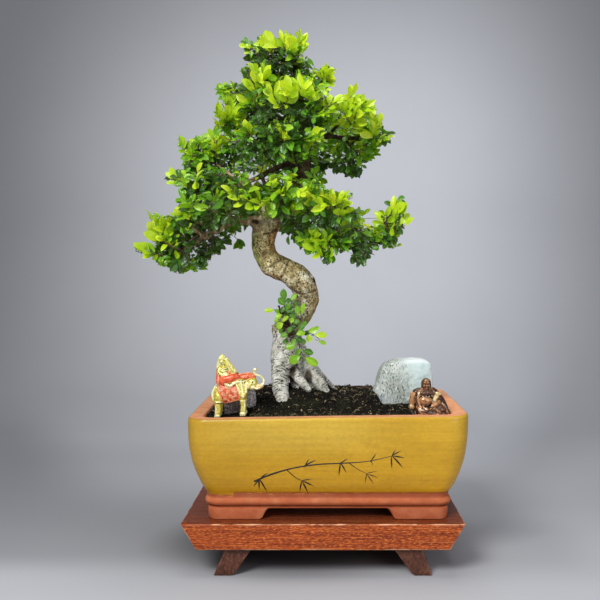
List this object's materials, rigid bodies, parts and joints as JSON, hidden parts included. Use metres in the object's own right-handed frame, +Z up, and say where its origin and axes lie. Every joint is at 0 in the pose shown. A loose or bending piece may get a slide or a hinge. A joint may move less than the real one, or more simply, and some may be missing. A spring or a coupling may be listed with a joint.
{
  "type": "chinese elm bonsai in a pot",
  "caption": "Chinese elm bonsai with an S-curved trunk and leafy pads, planted in a rounded rectangular glazed pot with stones and small figurines, on a wooden stand with splayed runners.",
  "frame": {"origin": "on the ground, below the middle of the whole object's bounding box", "axes": "+Z up, the viewer of the front stands at -Y, +X to the viewer's right"},
  "size_m": [0.5108, 0.3143, 0.8362],
  "materials": {
    "stand_board": "reddish brown stained wood, satin, worn along the edges",
    "stand_runner": "dark stained wood, satin, end grain showing",
    "dowel": "bare beech",
    "pot": "mustard glaze over bare terracotta rim, moulding and feet",
    "screen": "moulded plastic mesh",
    "soil": "dark peat and moss with pale fibres",
    "bark": "grey and tan bark with dark specks",
    "leaf": "glossy green leaves, yellow green at the shoot tips",
    "pale_stone": "pale rough stone with dark specks",
    "dark_stone": "dark grey rough stone",
    "gold_paint": "cast resin painted gold and red",
    "bronze_paint": "cast resin, brown with rubbed gold highlights"
  },
  "bodies": {
    "root": {"stand_top_board": "stand_board", "stand_runner_left": "stand_runner", "stand_runner_right": "stand_runner", "stand_dowel_1": "dowel", "stand_dowel_2": "dowel", "stand_dowel_3": "dowel", "stand_dowel_4": "dowel", "pot": "pot", "drain_screen_left": "screen", "drain_screen_right": "screen", "tree_wood": "bark", "pale_stone": "pale_stone", "dark_stone": "dark_stone", "elephant_figurine": "gold_paint", "seated_figurine": "bronze_paint", "soil": "soil", "leaves_apex": "leaf", "leaves_apex_right": "leaf", "leaves_upper_front": "leaf", "leaves_upper_left": "leaf", "leaves_upper_back_left": "leaf", "leaves_upper_back_right": "leaf", "leaves_left_shoulder": "leaf", "leaves_left_shoulder_low": "leaf", "leaves_middle_front": "leaf", "leaves_right_shoulder": "leaf", "leaves_right_upper": "leaf", "leaves_right_upper_low": "leaf", "leaves_back": "leaf", "leaves_left": "leaf", "leaves_left_low": "leaf", "leaves_centre_front": "leaf", "leaves_low_left_front": "leaf", "leaves_low_left_tip": "leaf", "leaves_low_left_crown": "leaf", "leaves_low_left_back": "leaf", "leaves_low_back": "leaf", "leaves_low_right_front": "leaf", "leaves_low_right_hang": "leaf", "leaves_low_right_tip": "leaf", "leaves_low_right_back": "leaf", "leaves_trunk_left": "leaf", "leaves_trunk_right": "leaf"}
  },
  "joints": []
}
